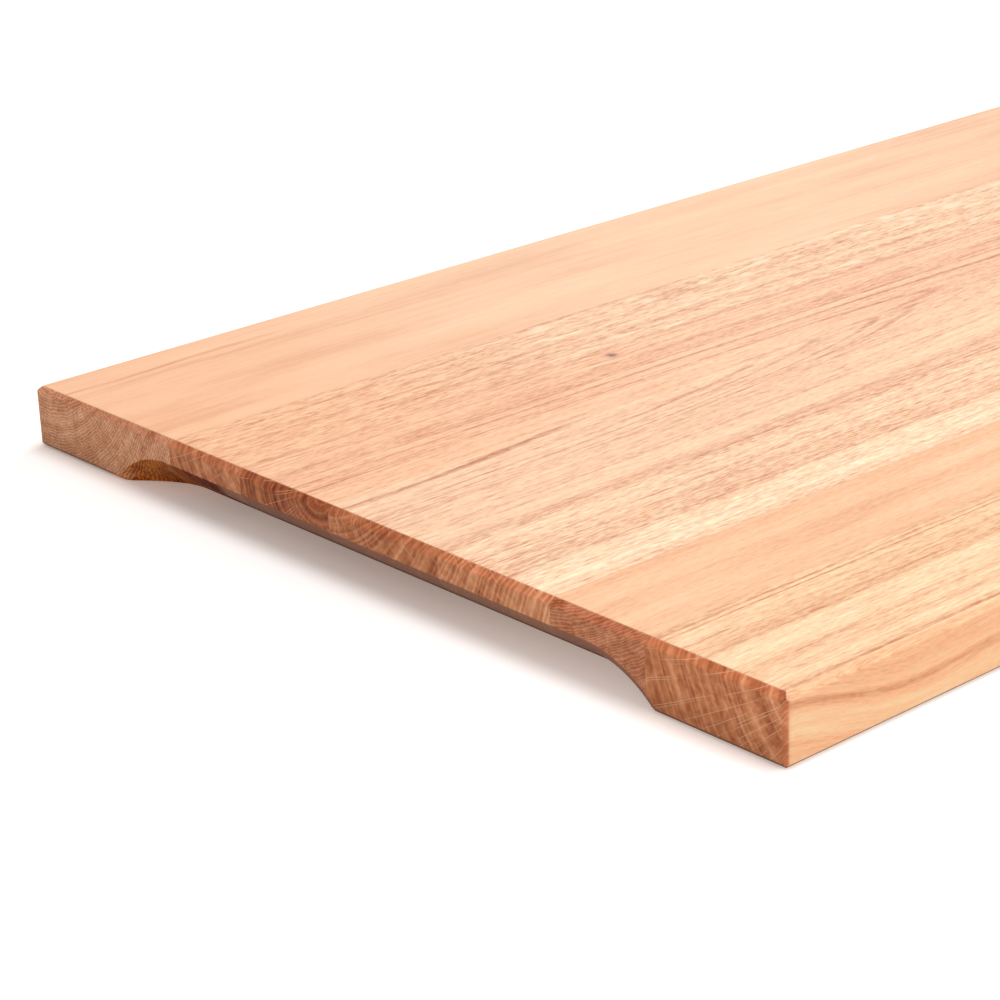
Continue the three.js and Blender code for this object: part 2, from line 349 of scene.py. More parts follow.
def recess_cutter(sizes, way_in):
    """The space under one end: an outline with a flat roof, two hollow arcs and two rounded feet that
    draws in on its way under the board, fast in the flare of the mouth and then at a steady rate.
    The way in is 1 at the near end and -1 at the far end."""
    height = BOARD_SIZE.z - sizes.lip_thickness
    depth = sizes.recess_depth + CUT_MARGIN
    taper = (height - sizes.mouth_flare) / (sizes.recess_depth - sizes.flare_depth)
    narrowing = sizes.mouth_flare + taper * (depth - sizes.flare_depth)
    foot_end = BOARD_HIGH.y - sizes.foot_length
    both_radii = sizes.recess_radius + sizes.foot_rounding
    hollow_height = height - sizes.recess_radius
    rise = sizes.foot_rounding - hollow_height
    turn = math.asin(rise / both_radii)
    roof_end = foot_end - both_radii * math.cos(turn)
    mouth = -way_in * BOARD_HIGH.x
    hollow = Vector((mouth, roof_end, hollow_height))
    foot = Vector((mouth, foot_end, sizes.foot_rounding))
    along = Vector((1, 0, 0))

    bm = bmesh.new()
    start = bm.verts.new((mouth, roof_end, height))
    bmesh.ops.spin(bm, geom=[start], cent=hollow, axis=along, angle=turn - math.pi / 2, steps=ARC_STEPS)
    bm.verts.ensure_lookup_table()
    hollow_arc = bm.verts[:]
    bmesh.ops.spin(bm, geom=[hollow_arc[-1]], cent=foot, axis=along, angle=math.pi / 2 - turn,
                   steps=CORNER_STEPS)
    bm.verts.ensure_lookup_table()
    foot_arc = bm.verts[len(hollow_arc):]
    low = bm.verts.new((mouth, foot_end, -narrowing - CUT_MARGIN))
    bm.edges.new((foot_arc[-1], low))

    half = bm.verts[:] + bm.edges[:]
    bmesh.ops.mirror(bm, geom=half, axis="Y", merge_dist=WELD_DISTANCE)
    tops = [v for v in bm.verts if abs(abs(v.co.y) - roof_end) < WELD_DISTANCE and v.co.z > height / 2]
    bm.edges.new(tops)
    lows = [v for v in bm.verts if v.co.z < low.co.z + WELD_DISTANCE]
    bm.edges.new(lows)
    bmesh.ops.contextual_create(bm, geom=bm.edges[:])

    bmesh.ops.translate(bm, vec=(-way_in * CUT_MARGIN, 0, 0), verts=bm.verts)
    front = pushed_out(bm, bm.faces[:], (way_in * CUT_MARGIN, 0, 0))[0]
    reached = 0
    narrowed = 0
    for reach, drawn_in in ((sizes.flare_depth, sizes.mouth_flare), (depth, narrowing)):
        last = front
        front, corners = pushed_out(bm, last, (0, 0, 0))
        bmesh.ops.delete(bm, geom=last, context="FACES_ONLY")
        for vert in corners:
            side = math.copysign(1, vert.co.y)
            place = Vector((mouth, abs(vert.co.y), vert.co.z))
            if place.z < low.co.z + WELD_DISTANCE:
                continue
            on_foot = (place - foot).length < sizes.foot_rounding + narrowed + WELD_DISTANCE
            centre = foot if on_foot else hollow
            radius = sizes.foot_rounding + drawn_in if on_foot else sizes.recess_radius - drawn_in
            place = centre + (place - centre).normalized() * radius
            vert.co = Vector((vert.co.x, side * place.y, place.z))
        bmesh.ops.translate(bm, vec=(way_in * (reach - reached), 0, 0), verts=corners)
        reached = reach
        narrowed = drawn_in
    bmesh.ops.recalc_face_normals(bm, faces=bm.faces)
    return bm


def mesh_of(bm, name):
    """Turns a bmesh into a mesh and frees it."""
    mesh = bpy.data.meshes.new(name)
    bm.to_mesh(mesh)
    bm.free()
    return mesh


def without(bm, cutters):
    """What is left of a solid when other solids are cut from it."""
    body = bpy.data.objects.new("board", mesh_of(bm, "board"))
    bpy.context.collection.objects.link(body)
    tools = []
    for number, cutter in enumerate(cutters):
        tool = bpy.data.objects.new(f"cutter_{number}", mesh_of(cutter, f"cutter_{number}"))
        bpy.context.collection.objects.link(tool)
        cut = body.modifiers.new(tool.name, "BOOLEAN")
        cut.operation = "DIFFERENCE"
        cut.solver = "EXACT"
        cut.object = tool
        tools.append(tool)
    bpy.context.view_layer.update()
    finished = body.evaluated_get(bpy.context.evaluated_depsgraph_get())
    left = bmesh.new()
    left.from_mesh(finished.data)
    for used in [body, *tools]:
        mesh = used.data
        bpy.data.objects.remove(used)
        bpy.data.meshes.remove(mesh)
    return left


def whole_board(sizes):
    """The finished board in one piece, with all its edges eased."""
    cutters = [recess_cutter(sizes, way_in) for way_in in (1, -1)]
    bm = without(shaped_blank(sizes), cutters)
    bmesh.ops.remove_doubles(bm, verts=bm.verts, dist=WELD_DISTANCE)
    bmesh.ops.dissolve_limit(bm, angle_limit=FLAT_ANGLE, verts=bm.verts, edges=bm.edges)
    sharp = [edge for edge in bm.edges if edge.is_manifold and edge.calc_face_angle() > EASED_ANGLE]
    bmesh.ops.bevel(bm, geom=sharp, offset=sizes.easing, segments=EASING_STEPS, profile=0.5,
                    affect="EDGES", material=-1, clamp_overlap=False)
    return bm


def cut_piece(board, node):
    """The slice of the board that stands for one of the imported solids, as an object."""
    low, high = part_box(node)
    bm = board.copy()
    if low.y > BOARD_LOW.y + WELD_DISTANCE:
        cut_away(bm, low, Vector((0, -1, 0)))
    if high.y < BOARD_HIGH.y - WELD_DISTANCE:
        cut_away(bm, high, Vector((0, 1, 0)))
    bmesh.ops.recalc_face_normals(bm, faces=bm.faces)
    for face in bm.faces:
        face.smooth = True
    mesh = mesh_of(bm, f"{node}_wood")
    mesh.set_sharp_from_angle(angle=SHARP_ANGLE)
    piece = bpy.data.objects.new(f"{node}_shaped", mesh)
    bpy.context.collection.objects.link(piece)
    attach(piece, "root")
    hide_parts(node)
    return piece


# Wood, glue and floor

class NodeSheet:
    """Adds nodes to one node tree. Each call gives back the socket that carries its result."""

    COLUMN = 190
    ROWS = 8
    ROW = 230
    MIX_SHARE = 0
    MIX_FIRST = 6
    MIX_SECOND = 7
    MIX_RESULT = 2
    NOISE_ROUGHNESS = 0.5

    def __init__(self, tree):
        self.tree = tree

    def node(self, kind, inputs=None, **settings):
        made = self.tree.nodes.new(kind)
        count = len(self.tree.nodes) - 1
        made.location = (count // self.ROWS * self.COLUMN, -(count % self.ROWS) * self.ROW)
        for name, value in settings.items():
            setattr(made, name, value)
        for name, value in (inputs or {}).items():
            self.feed(made.inputs[name], value)
        return made

    def feed(self, socket, value):
        if isinstance(value, bpy.types.NodeSocket):
            self.tree.links.new(value, socket)
        else:
            socket.default_value = value

    def maths(self, operation, *values):
        made = self.node("ShaderNodeMath", operation=operation)
        for socket, value in zip(made.inputs, values):
            self.feed(socket, value)
        return made.outputs[0]

    def total(self, first, *others):
        for other in others:
            first = self.maths("ADD", first, other)
        return first

    def product(self, first, *others):
        for other in others:
            first = self.maths("MULTIPLY", first, other)
        return first

    def ramped(self, value, low, high, first=0.0, last=1.0, way="LINEAR"):
        """Goes evenly from first to last while the value goes from low to high."""
        ends = {"Value": value, "From Min": low, "From Max": high, "To Min": first, "To Max": last}
        return self.node("ShaderNodeMapRange", ends, interpolation_type=way).outputs[0]

    def eased(self, value, low, high, first=0.0, last=1.0):
        """Goes smoothly from first to last while the value goes from low to high."""
        return self.ramped(value, low, high, first, last, "SMOOTHSTEP")

    def stretched(self, place, x, y, z):
        made = self.node("ShaderNodeVectorMath", operation="MULTIPLY")
        self.feed(made.inputs[0], place)
        self.feed(made.inputs[1], (x, y, z))
        return made.outputs[0]

    def gathered(self, x, y, z):
        return self.node("ShaderNodeCombineXYZ", {"X": x, "Y": y, "Z": z}).outputs[0]

    def noise(self, place, seed, detail=2.0):
        return self.any_noise("4D", {"Vector": place, "W": seed, "Detail": detail})

    def line_noise(self, value, detail=1.0):
        return self.any_noise("1D", {"W": value, "Detail": detail})

    def any_noise(self, dimensions, inputs):
        inputs = {"Scale": 1.0, "Roughness": self.NOISE_ROUGHNESS, **inputs}
        return self.node("ShaderNodeTexNoise", inputs, noise_dimensions=dimensions).outputs[0]

    def mixed(self, share, first, second, blend="MIX"):
        made = self.node("ShaderNodeMix", data_type="RGBA", blend_type=blend)
        self.feed(made.inputs[self.MIX_SHARE], share)
        self.feed(made.inputs[self.MIX_FIRST], first)
        self.feed(made.inputs[self.MIX_SECOND], second)
        return made.outputs[self.MIX_RESULT]

    def tinted(self, share, colour, tint):
        return self.mixed(share, colour, tint, "MULTIPLY")

    def scaled(self, colour, share):
        made = self.node("ShaderNodeVectorMath", operation="SCALE")
        self.feed(made.inputs[0], colour)
        self.feed(made.inputs["Scale"], share)
        return made.outputs[0]

    def parts(self, vector):
        return self.node("ShaderNodeSeparateXYZ", {"Vector": vector}).outputs


def new_group(name, inputs, outputs):
    """An empty node group with named sockets: its sheet, its inputs and the sockets that take its outputs."""
    tree = bpy.data.node_groups.new(name, "ShaderNodeTree")
    for title, kind in inputs:
        tree.interface.new_socket(title, in_out="INPUT", socket_type=kind)
    for title, kind in outputs:
        tree.interface.new_socket(title, in_out="OUTPUT", socket_type=kind)
    sheet = NodeSheet(tree)
    given = sheet.node("NodeGroupInput").outputs
    result = sheet.node("NodeGroupOutput").inputs
    return sheet, given, result


VALUE = "NodeSocketFloat"
VECTOR = "NodeSocketVector"
COLOUR = "NodeSocketColor"

# Colours, tints and shades of the wood: warm long edges; painted shade at the near ends, on the bottom
# chamfers and low on the end grain; the recess roof, darker routed wood with painted shade; painted shade on
# the recess wall with painted light at its foot; and the knot
WHITE = (1.0, 1.0, 1.0, 1.0)
WARM_EDGE_AND_NEAR_SHADE_TINT = (0.97, 0.84, 0.75, 1.0)
CHAMFER_TINT = (1.0, 0.88, 0.88, 1.0)
LOW_EDGE_PAINTED_SHADE_TINT = (0.32, 0.3, 0.3, 1.0)
LOW_END_PAINTED_SHADE = 0.87
ROUTED_ROOF_AND_SHADE_TINT = (0.6, 0.6, 0.63, 1.0)
ROUTED_ROOF_AND_SHADE_COLOUR = (*shade(142, 103, 87), 1.0)
ROOF_SHARE = 0.7
WALL_SHADE_TINT = (0.72, 0.45, 0.12, 1.0)
DEEP_WALL_SHADE_TINT = (0.15, 0.03, 0.005, 1.0)
WALL_LIGHT_AND_SHADE = (1.6, 0.8)
KNOT_HEART = (*shade(160, 116, 98), 1.0)
KNOT_HALO = (*shade(222, 162, 138), 1.0)
KNOT_HALO_STRENGTH = 0.6
END_FILTER = (1.0, 1.6, 2.2)

# Where they begin and end, in millimetres from the near end, the front edge, the underside or the pith
NEAR_SHADE_REACH = (0.0, 260.0)
WALL_SHADE_START = (276.0, 284.0)
DEEP_SHADE_CLEARING = (280.0, 320.0)
WALL_SHADE_END = (349.0, 353.0)
WALL_LIGHT_AND_SHADE_HEIGHTS = (0.5, 8.0)
LOW_END_HEIGHTS = (4.0, 15.5)
KNOT_HEIGHTS = (8.0, 14.0)
RAY_START = (8.0, 20.0)

# Rays and flecks: where they fade in millimetres, how far a ray swings in radians, and where it lies
# between its neighbours
RAY_WIDTHS = (0.03, 0.16)
FLECK_FADE = (0.0, 30.0)
RAY_SWING = 0.006
RAY_SPOTS = (0.1, 0.9)

# The dip of the grain near the front side, in millimetres
DIP_FALL = (-10.0, 58.0)
DIP_CLIMB = (58.0, 200.0)
DIP_NEAR = (0.0, 3.0)
FRONT_RISE = 2.4

# How far a face leans to count as one kind or another, as parts of its normal
EDGE_LEAN = (0.5, 0.95)
END_LEAN = (0.35, 0.62)
CHAMFER_LEAN = (0.3, 0.6)
CORNER_LEAN = (0.1, 0.4)
CORNER_UPRIGHT = (-0.2, -0.05)
ROUTED_LEAN = (-0.3, -0.08)
WALL_LEAN = (-0.25, -0.05)
FLARE_LEAN = (0.7, 0.8)
OUTWARD_LEAN = (-0.45, -0.25)
UNDERSIDE_LEAN = (-0.95, -0.8)
DOWNWARD_LEAN = (-0.6, -0.2)

# How fast each noise changes, per millimetre along, across and up the board
LONG_WAVES = (0.007, 0.03, 0.03)
SHORT_WAVES = (0.02, 0.25, 0.25)
RAY_WAVER = (0.02, 0.09, 0.09)
FIGURE_BREAKS = (0.02, 0.35, 0.35)
STREAKS = (0.012, 0.5, 0.5)
FIBRES = (0.3, 1.4, 1.4)
PORES = (0.13, 1.9, 1.9)
MOTTLE = (0.009, 0.07, 0.07)
CLOUDS = (0.02, 0.12, 0.12)
KNOT_WOBBLE = (0.5, 0.5, 0.1)
GLUE_PATCHES = (0.05, 0.3, 0.3)
FLOOR_CLOUDS = (0.002, 0.002, 0.002)

# The same per millimetre along, per radian or ray round the pith and per millimetre outwards
FLECKS = (0.05, 40.0, 0.09)
RAY_PATCHES = (0.03, 5.3, 0.05)
GRIT_ALONG = 0.1
GRIT_OUTWARDS = 0.55
YEAR_RATE = 0.11
BAND_RATE = 0.2

# What tells the noises apart
DASH_SEED = 1.3
BREAK_SEED = 2.2
PORE_SEED = 3.1
BAND_SEED = 3.9
GRIT_SEED = 4.4
MOTTLE_SEED = 5.7
PATCH_SEED = 6.6
CLOUD_SEED = 7.1
YEAR_SEED = 7.3
FIBRE_SEED = 7.9
WAVER_SEED = 8.8
FLECK_SEED = 9.2
GLUE_SEED = 11.0
FLOOR_SEED = 12.0

# Parts of one ring, from 0 on its inside to 1 on its outside
EARLY_LINE = (0.0, 0.45)
LATE_LINE = (0.85, 1.0)
LATEWOOD_START = (0.0, 0.35)
LATEWOOD_END = (0.7, 1.0)

# Values of a noise or a mask between which something comes in
BREAK_THRESHOLDS = (0.35, 0.65)
PORE_THRESHOLDS = (0.58, 0.68)
PORE_LINES = (0.0, 0.6)
FLECK_THRESHOLDS = (0.56, 0.68)
PATCH_THRESHOLDS = (0.45, 0.6)
SOAKED_THRESHOLDS = (0.35, 0.65)
SHINE_THRESHOLDS = (0.3, 0.7)

# How strongly the parts of the grain show
BREAK_STRENGTHS = (0.6, 1.2)
PORES_OFF_LINES = 0.3
LINE_MIDDLE = 0.4
LATEWOOD_MIDDLE = 0.6
GRIT_CONTRAST = 0.9
CLOUD_CONTRAST = 0.6
EDGE_CALM = 0.5
WORKED_CALM = 0.6
WALL_SHADE_GRAIN = 2.6
DARKEST = 0.1

# Where the drawn figure fades out, in shares of its reach
FIGURE_FADE = (0.8, 1.2)

# Shine and bump
PLAIN_ROUGHNESS = 0.5
DARK_ROUGHNESS = 0.08
END_ROUGHNESS = 0.1
ROUTED_ROUGHNESS = 0.4
DASH_HEIGHT = 0.5
FIGURE_DEPTH = 0.3
BUMP_STRENGTH = 0.25
BUMP_DEPTH = 0.12 * MM
OIL_SHEEN = 0.25
GLUE_ROUGHNESS = (0.3, 0.5)

# The pin knot, in half lengths of its own, and how far the rings swell round it in millimetres
HEART_REACH = (0.3, 1.3)
HALO_REACH = (0.8, 2.6)
SWELL_REACH = (0.5, 6.0)
KNOT_SWELL = 1.6

# The floor, with distances in millimetres from the near front corner, the front edge or the long sides
FLOOR_HALF = 4000 * MM
FLOOR_CELLS = 8
FLOOR_GREY = (0.8, 0.8, 0.8, 1.0)
FLOOR_CLOUDINESS = 0.04
FLOOR_ROUGHNESS = 0.9
FLOOR_REACH = (600.0, 1800.0)
FLOOR_FORWARD = (40.0, 220.0)
SIDE_BEFORE = 6.0
SIDE_BEYOND = 2.0


def sockets(kind, *titles):
    return [(title, kind) for title in titles]


RING_INPUTS = sockets(VECTOR, "Place") + sockets(
    VALUE, "Swell", "Seed", "Pith Across", "Pith Height", "Bow", "Ring Width", "Unevenness", "Waviness",
    "Ripple")
RING_OUTPUTS = sockets(VALUE, "Rings", "Radius", "Turn")
GRAIN_INPUTS = sockets(VECTOR, "Place", "Facing") + sockets(
    VALUE, "Figure", "Seed", "Line Strength", "Streak Strength", "Dash Strength", "Dash Length",
    "Dash Width", "Fibre Strength", "Pore Strength", "Mottle Strength", "Fleck Strength", "Fleck Start",
    "Near Painted Shade", "Edge Warmth", "Ray Strength", "Ray Density", "Ring Contrast", "Band Contrast",
    "End Figure", "Chamfer Painted Shade") + sockets(COLOUR, "Pale", "Brown", "Cream", "End Grain")
GRAIN_OUTPUTS = sockets(COLOUR, "Colour") + sockets(VALUE, "Roughness", "Height")


def centred(sheet, value, strength, middle=0.5):
    """A value that swings about a middle, as a tone of a given strength."""
    return sheet.product(sheet.maths("SUBTRACT", value, middle), strength)


def swung(sheet, value, amount):
    """A value between nought and one, as a swing of up to an amount either way."""
    return sheet.product(centred(sheet, value, 2.0), amount)


def growth_rings_group():
    """Counts growth rings outwards from a bowed pith, and measures round it."""
    sheet, given, result = new_group("growth_rings", RING_INPUTS, RING_OUTPUTS)
    place = given["Place"]
    seed = given["Seed"]
    x, y, z = sheet.parts(place)
    across = sheet.maths("SUBTRACT", y, given["Pith Across"])
    up = sheet.maths("SUBTRACT", z, sheet.total(given["Pith Height"], sheet.product(given["Bow"], x, x)))
    long_wave = sheet.noise(sheet.stretched(place, *LONG_WAVES), seed, detail=1.0)
    short_wave = sheet.noise(sheet.stretched(place, *SHORT_WAVES), seed)
    squares = sheet.total(sheet.product(across, across), sheet.product(up, up))
    radius = sheet.total(
        sheet.maths("SQRT", squares),
        swung(sheet, long_wave, given["Waviness"]),
        swung(sheet, short_wave, given["Ripple"]),
        given["Swell"])
    years = sheet.line_noise(sheet.total(sheet.product(radius, YEAR_RATE), sheet.product(seed, YEAR_SEED)))
    spread = swung(sheet, years, given["Unevenness"])
    sheet.feed(result["Rings"], sheet.total(sheet.maths("DIVIDE", radius, given["Ring Width"]), spread))
    sheet.feed(result["Radius"], radius)
    sheet.feed(result["Turn"], sheet.maths("ARCTAN2", up, across))
    return sheet.tree


def ray_lines(sheet, place, radius, turn, density, seed):
    """Thin pale lines that run straight out from the pith, each in patches."""
    along_rate, ray_rate, outwards_rate = RAY_PATCHES
    waver = sheet.noise(sheet.stretched(place, *RAY_WAVER), sheet.total(seed, WAVER_SEED), detail=1.0)
    turned = sheet.total(turn, centred(sheet, waver, RAY_SWING))
    counted = sheet.product(turned, density)
    number = sheet.maths("FLOOR", counted)
    chance = sheet.node("ShaderNodeTexWhiteNoise", {"W": sheet.total(number, seed)}, noise_dimensions="1D")
    spot = sheet.eased(chance.outputs[0], 0.0, 1.0, *RAY_SPOTS)
    aside = sheet.maths("ABSOLUTE", sheet.maths("SUBTRACT", sheet.maths("FRACT", counted), spot))
    distance = sheet.product(aside, sheet.maths("DIVIDE", radius, density))
    patch = sheet.gathered(
        sheet.product(sheet.parts(place)[0], along_rate),
        sheet.product(number, ray_rate),
        sheet.product(radius, outwards_rate))
    patched = sheet.noise(patch, sheet.total(seed, PATCH_SEED), detail=0.0)
    there = sheet.eased(patched, *PATCH_THRESHOLDS)
    beyond_pith = sheet.eased(radius, *RAY_START)
    return sheet.product(sheet.eased(distance, *RAY_WIDTHS, 1.0, 0.0), there, beyond_pith)


def ray_flecks(sheet, x, radius, turn, given):
    """Pale flecks where rays lie in the face, as a mask."""
    along_rate, turn_rate, outwards_rate = FLECKS
    around = sheet.gathered(
        sheet.product(x, along_rate),
        sheet.product(turn, turn_rate),
        sheet.product(radius, outwards_rate))
    flecks = sheet.noise(around, sheet.total(given["Seed"], FLECK_SEED), detail=1.5)
    started = sheet.eased(sheet.maths("SUBTRACT", x, given["Fleck Start"]), *FLECK_FADE)
    return sheet.product(sheet.eased(flecks, *FLECK_THRESHOLDS), started, given["Fleck Strength"])


def oak_grain_group():
    """Oak in the round: lines, streaks, dashes and ray flecks along the grain, and rings crossed by pale
    rays on the end grain."""
    sheet, given, result = new_group("oak_grain", GRAIN_INPUTS + RING_OUTPUTS, GRAIN_OUTPUTS)
    place = given["Place"]
    seed = given["Seed"]
    radius = given["Radius"]
    turn = given["Turn"]
    x, y, z = sheet.parts(place)
    ahead, sideways, upwards = sheet.parts(given["Facing"])
    end_facing = sheet.maths("ABSOLUTE", ahead)
    side_facing = sheet.maths("ABSOLUTE", sideways)

    phase = sheet.maths("FRACT", given["Rings"])
    early = sheet.eased(phase, *EARLY_LINE, 1.0, 0.0)
    late = sheet.eased(phase, *LATE_LINE)
    line = sheet.maths("MAXIMUM", early, late)

    broken = sheet.noise(sheet.stretched(place, *FIGURE_BREAKS), sheet.total(seed, BREAK_SEED))
    figure = sheet.product(given["Figure"], sheet.ramped(broken, *BREAK_THRESHOLDS, *BREAK_STRENGTHS))
    streak = sheet.noise(sheet.stretched(place, *STREAKS), seed)
    dash_place = sheet.gathered(
        sheet.maths("DIVIDE", x, given["Dash Length"]),
        sheet.maths("DIVIDE", y, given["Dash Width"]),
        sheet.maths("DIVIDE", z, given["Dash Width"]))
    dash = sheet.noise(dash_place, sheet.total(seed, DASH_SEED), detail=1.5)
    fibre = sheet.noise(sheet.stretched(place, *FIBRES), sheet.total(seed, FIBRE_SEED), detail=1.0)
    pores = sheet.noise(sheet.stretched(place, *PORES), sheet.total(seed, PORE_SEED), detail=0.5)
    in_lines = sheet.eased(line, *PORE_LINES, PORES_OFF_LINES, 1.0)
    pore = sheet.product(sheet.eased(pores, *PORE_THRESHOLDS), in_lines)
    mottle = sheet.noise(sheet.stretched(place, *MOTTLE), sheet.total(seed, MOTTLE_SEED))

    edge = sheet.eased(side_facing, *EDGE_LEAN)
    texture = sheet.total(
        centred(sheet, line, given["Line Strength"], LINE_MIDDLE),
        centred(sheet, streak, given["Streak Strength"]),
        centred(sheet, dash, given["Dash Strength"]),
        centred(sheet, fibre, given["Fibre Strength"]),
        centred(sheet, mottle, given["Mottle Strength"]),
        sheet.product(pore, given["Pore Strength"]))
    tone = sheet.total(figure, sheet.product(texture, sheet.ramped(edge, 0.0, 1.0, 1.0, EDGE_CALM)))
    light = sheet.ramped(tone, -1.0, 0.0, 1.0, 0.0)
    dark = sheet.ramped(tone, 0.0, 1.0)
    face = sheet.mixed(dark, sheet.mixed(light, given["Pale"], given["Cream"]), given["Brown"])
    face = sheet.mixed(ray_flecks(sheet, x, radius, turn, given), face, given["Cream"])
    # A warm tint on the long edges, and painted shade at the near end of some staves
    warmth = sheet.total(
        sheet.product(sheet.eased(x, *NEAR_SHADE_REACH, 1.0, 0.0), given["Near Painted Shade"]),
        sheet.product(edge, given["Edge Warmth"]))
    face = sheet.tinted(warmth, face, WARM_EDGE_AND_NEAR_SHADE_TINT)
    # Painted shade: the bottom chamfers are darkened where the board's contact shadow falls
    low_edge_painted_shade = sheet.product(
        sheet.eased(upwards, *UNDERSIDE_LEAN),
        sheet.eased(upwards, *DOWNWARD_LEAN, 1.0, 0.0))
    face = sheet.tinted(low_edge_painted_shade, face, LOW_EDGE_PAINTED_SHADE_TINT)

    bands = sheet.line_noise(
        sheet.total(sheet.product(radius, BAND_RATE), sheet.product(seed, BAND_SEED)), detail=2.0)
    grit_place = sheet.gathered(
        sheet.product(x, GRIT_ALONG),
        sheet.product(turn, given["Ray Density"]),
        sheet.product(radius, GRIT_OUTWARDS))
    grit = sheet.noise(grit_place, sheet.total(seed, GRIT_SEED), detail=1.0)
    cloud = sheet.noise(sheet.stretched(place, *CLOUDS), sheet.total(seed, CLOUD_SEED))
    latewood = sheet.product(sheet.eased(phase, *LATEWOOD_START), sheet.eased(phase, *LATEWOOD_END, 1.0, 0.0))
    depth = sheet.total(
        centred(sheet, latewood, given["Ring Contrast"], LATEWOOD_MIDDLE),
        centred(sheet, bands, given["Band Contrast"]),
        centred(sheet, grit, GRIT_CONTRAST),
        centred(sheet, cloud, CLOUD_CONTRAST),
        sheet.product(figure, given["End Figure"]))

    flared = sheet.ramped(end_facing, *FLARE_LEAN)
    outward = sheet.product(flared, sheet.eased(sideways, *OUTWARD_LEAN, 1.0, 0.0))
    inward = sheet.maths("SUBTRACT", 1.0, outward)
    routed = sheet.product(sheet.ramped(upwards, *ROUTED_LEAN, 1.0, 0.0), inward)
    cornered = sheet.product(
        sheet.ramped(side_facing, *CORNER_LEAN),
        sheet.ramped(upwards, *CORNER_UPRIGHT))
    chamfered = sheet.maths("MAXIMUM", sheet.ramped(upwards, *CHAMFER_LEAN), cornered)
    # Painted shade on the recess wall at the back arch and on towards the back foot
    walled = sheet.eased(sideways, *WALL_LEAN, 1.0, 0.0)
    wall_shade_reach = sheet.maths("MAXIMUM", walled, sheet.eased(y, *WALL_SHADE_START))
    wall_shade = sheet.product(wall_shade_reach, sheet.eased(y, *WALL_SHADE_END, 1.0, 0.0))

    worked = sheet.maths("MAXIMUM", routed, cornered)
    grained = sheet.ramped(sheet.product(routed, wall_shade), 0.0, 1.0, 1.0, WALL_SHADE_GRAIN)
    softened = sheet.product(depth, grained, sheet.ramped(worked, 0.0, 1.0, 1.0, WORKED_CALM))
    left = sheet.maths("MAXIMUM", sheet.maths("SUBTRACT", 1.0, softened), DARKEST)
    filtered = sheet.gathered(*(sheet.maths("POWER", left, power) for power in END_FILTER))
    end = sheet.tinted(1.0, given["End Grain"], filtered)
    ray = ray_lines(sheet, place, radius, turn, given["Ray Density"], seed)
    end = sheet.mixed(sheet.product(ray, given["Ray Strength"]), end, given["Pale"])
    end = sheet.tinted(chamfered, end, CHAMFER_TINT)
    # Painted shade: the chamfered end grain is darkened, more on the back staves
    end = sheet.scaled(end, sheet.ramped(chamfered, 0.0, 1.0, 1.0, given["Chamfer Painted Shade"]))
    # Painted shade: the end grain darkens towards the underside
    end = sheet.scaled(end, sheet.ramped(z, *LOW_END_HEIGHTS, LOW_END_PAINTED_SHADE, 1.0))
    # Painted shade on the recess wall, darkest where it begins, with painted light at its foot and painted
    # shade at its top
    mixed_wall_shade = sheet.mixed(sheet.ramped(y, *DEEP_SHADE_CLEARING), DEEP_WALL_SHADE_TINT, WALL_SHADE_TINT)
    wall_shaded = sheet.scaled(sheet.tinted(1.0, end, mixed_wall_shade), sheet.ramped(z, *WALL_LIGHT_AND_SHADE_HEIGHTS, *WALL_LIGHT_AND_SHADE))
    # The recess roof: darker routed wood, greyed and darkened further as painted shade
    roof = sheet.mixed(ROOF_SHARE, sheet.tinted(1.0, end, ROUTED_ROOF_AND_SHADE_TINT), ROUTED_ROOF_AND_SHADE_COLOUR)
    end = sheet.mixed(routed, end, sheet.mixed(wall_shade, roof, wall_shaded))

    share = sheet.eased(end_facing, *END_LEAN)
    sheet.feed(result["Colour"], sheet.mixed(share, face, end))
    sheet.feed(result["Roughness"], sheet.total(
        PLAIN_ROUGHNESS,
        sheet.product(tone, DARK_ROUGHNESS),
        sheet.product(share, END_ROUGHNESS),
        sheet.product(share, routed, ROUTED_ROUGHNESS)))
    hollows = sheet.total(pore, sheet.product(figure, FIGURE_DEPTH))
    sheet.feed(result["Height"], sheet.maths("SUBTRACT", sheet.product(dash, DASH_HEIGHT), hollows))
    return sheet.tree


def new_material(name):
    """An empty material: itself, its sheet, its Principled shader and the socket that takes the surface."""
    material = bpy.data.materials.new(name)
    material.use_nodes = True
    tree = material.node_tree
    tree.nodes.clear()
    sheet = NodeSheet(tree)
    surface = sheet.node("ShaderNodeOutputMaterial").inputs["Surface"]
    shader = sheet.node("ShaderNodeBsdfPrincipled")
    sheet.feed(surface, shader.outputs[0])
    return material, sheet, shader, surface


def board_place(sheet):
    """Millimetres from the near end, the front edge and the underside of the board, and the normal."""
    texture = sheet.node("ShaderNodeTexCoord")
    made = sheet.node("ShaderNodeVectorMath", operation="MULTIPLY_ADD")
    sheet.feed(made.inputs[0], texture.outputs["Object"])
    sheet.feed(made.inputs[1], (1 / MM, 1 / MM, 1 / MM))
    sheet.feed(made.inputs[2], tuple(-BOARD_LOW / MM))
    return made.outputs[0], texture.outputs["Normal"]


